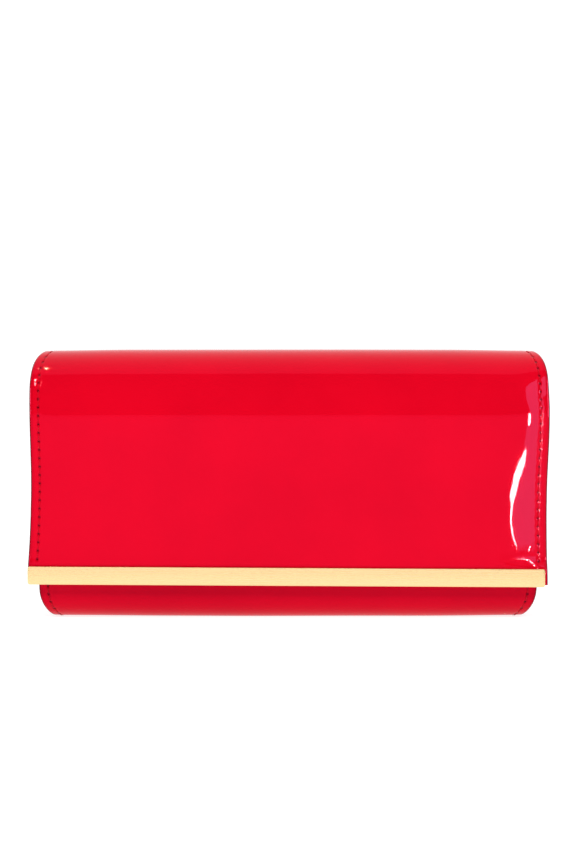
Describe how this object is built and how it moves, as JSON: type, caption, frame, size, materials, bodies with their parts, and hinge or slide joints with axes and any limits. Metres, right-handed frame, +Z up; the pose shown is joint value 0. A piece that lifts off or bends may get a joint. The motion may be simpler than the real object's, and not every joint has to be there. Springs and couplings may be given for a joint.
{
  "type": "clutch purse",
  "caption": "Slim patent leather clutch purse with a rounded crown, a full-width flap edged with a metal bar, a hidden magnetic snap, folding gussets and a lined compartment.",
  "frame": {"origin": "centre of the closed purse's footprint, on the surface that it stands on", "axes": "+Z up; the flap and its bar face -Y; +X is to the right seen from the front, along the bar"},
  "size_m": [0.262, 0.05, 0.135],
  "materials": {
    "patent_leather": "high gloss",
    "flap_lining_leather": "semi-matt grain",
    "satin_lining": "satin weave",
    "stiffening_board": "matt",
    "foam": "matt",
    "gold_metal": "satin plated",
    "snap_metal": "polished plated",
    "magnet": "satin plated"
  },
  "bodies": {
    "body": {"body_skin": "patent_leather", "front_board": "stiffening_board", "base_board": "stiffening_board", "back_board": "stiffening_board", "body_lining": "satin_lining", "front_facing": "patent_leather", "back_facing": "patent_leather", "gusset_right": "patent_leather", "gusset_left": "patent_leather", "slip_pocket": "satin_lining", "pocket_binding": "patent_leather", "snap_socket": "snap_metal", "snap_magnet": "magnet", "socket_washer": "snap_metal", "d_ring_tab_right": "patent_leather", "d_ring_tab_left": "patent_leather"},
    "crown": {"crown_skin": "patent_leather", "crown_foam": "foam", "crown_lining": "flap_lining_leather"},
    "flap": {"flap_skin": "patent_leather", "flap_board": "stiffening_board", "flap_lining": "flap_lining_leather", "snap_stud": "snap_metal", "stud_washer": "snap_metal", "edge_bar": "gold_metal", "bar_screw_1": "gold_metal", "bar_screw_2": "gold_metal", "bar_screw_3": "gold_metal"},
    "ring_right": {"d_ring_right": "gold_metal"},
    "ring_left": {"d_ring_left": "gold_metal"}
  },
  "joints": [
    {"name": "crown_fold", "type": "hinge", "parent": "body", "child": "crown", "pos_m": [0, 0.025, 0.102], "axis": [-1, 0, 0], "range_deg": [0, 120]},
    {"name": "flap_fold", "type": "hinge", "parent": "crown", "child": "flap", "pos_m": [0, -0.0249, 0.102], "axis": [-1, 0, 0], "range_deg": [0, 90]},
    {"name": "ring_right_swing", "type": "hinge", "parent": "body", "child": "ring_right", "pos_m": [0.1006, 0.00375, 0.089], "axis": [0, 1, 0], "range_deg": [-8, 150]},
    {"name": "ring_left_swing", "type": "hinge", "parent": "body", "child": "ring_left", "pos_m": [-0.1006, 0.00375, 0.089], "axis": [0, -1, 0], "range_deg": [-8, 150]}
  ]
}
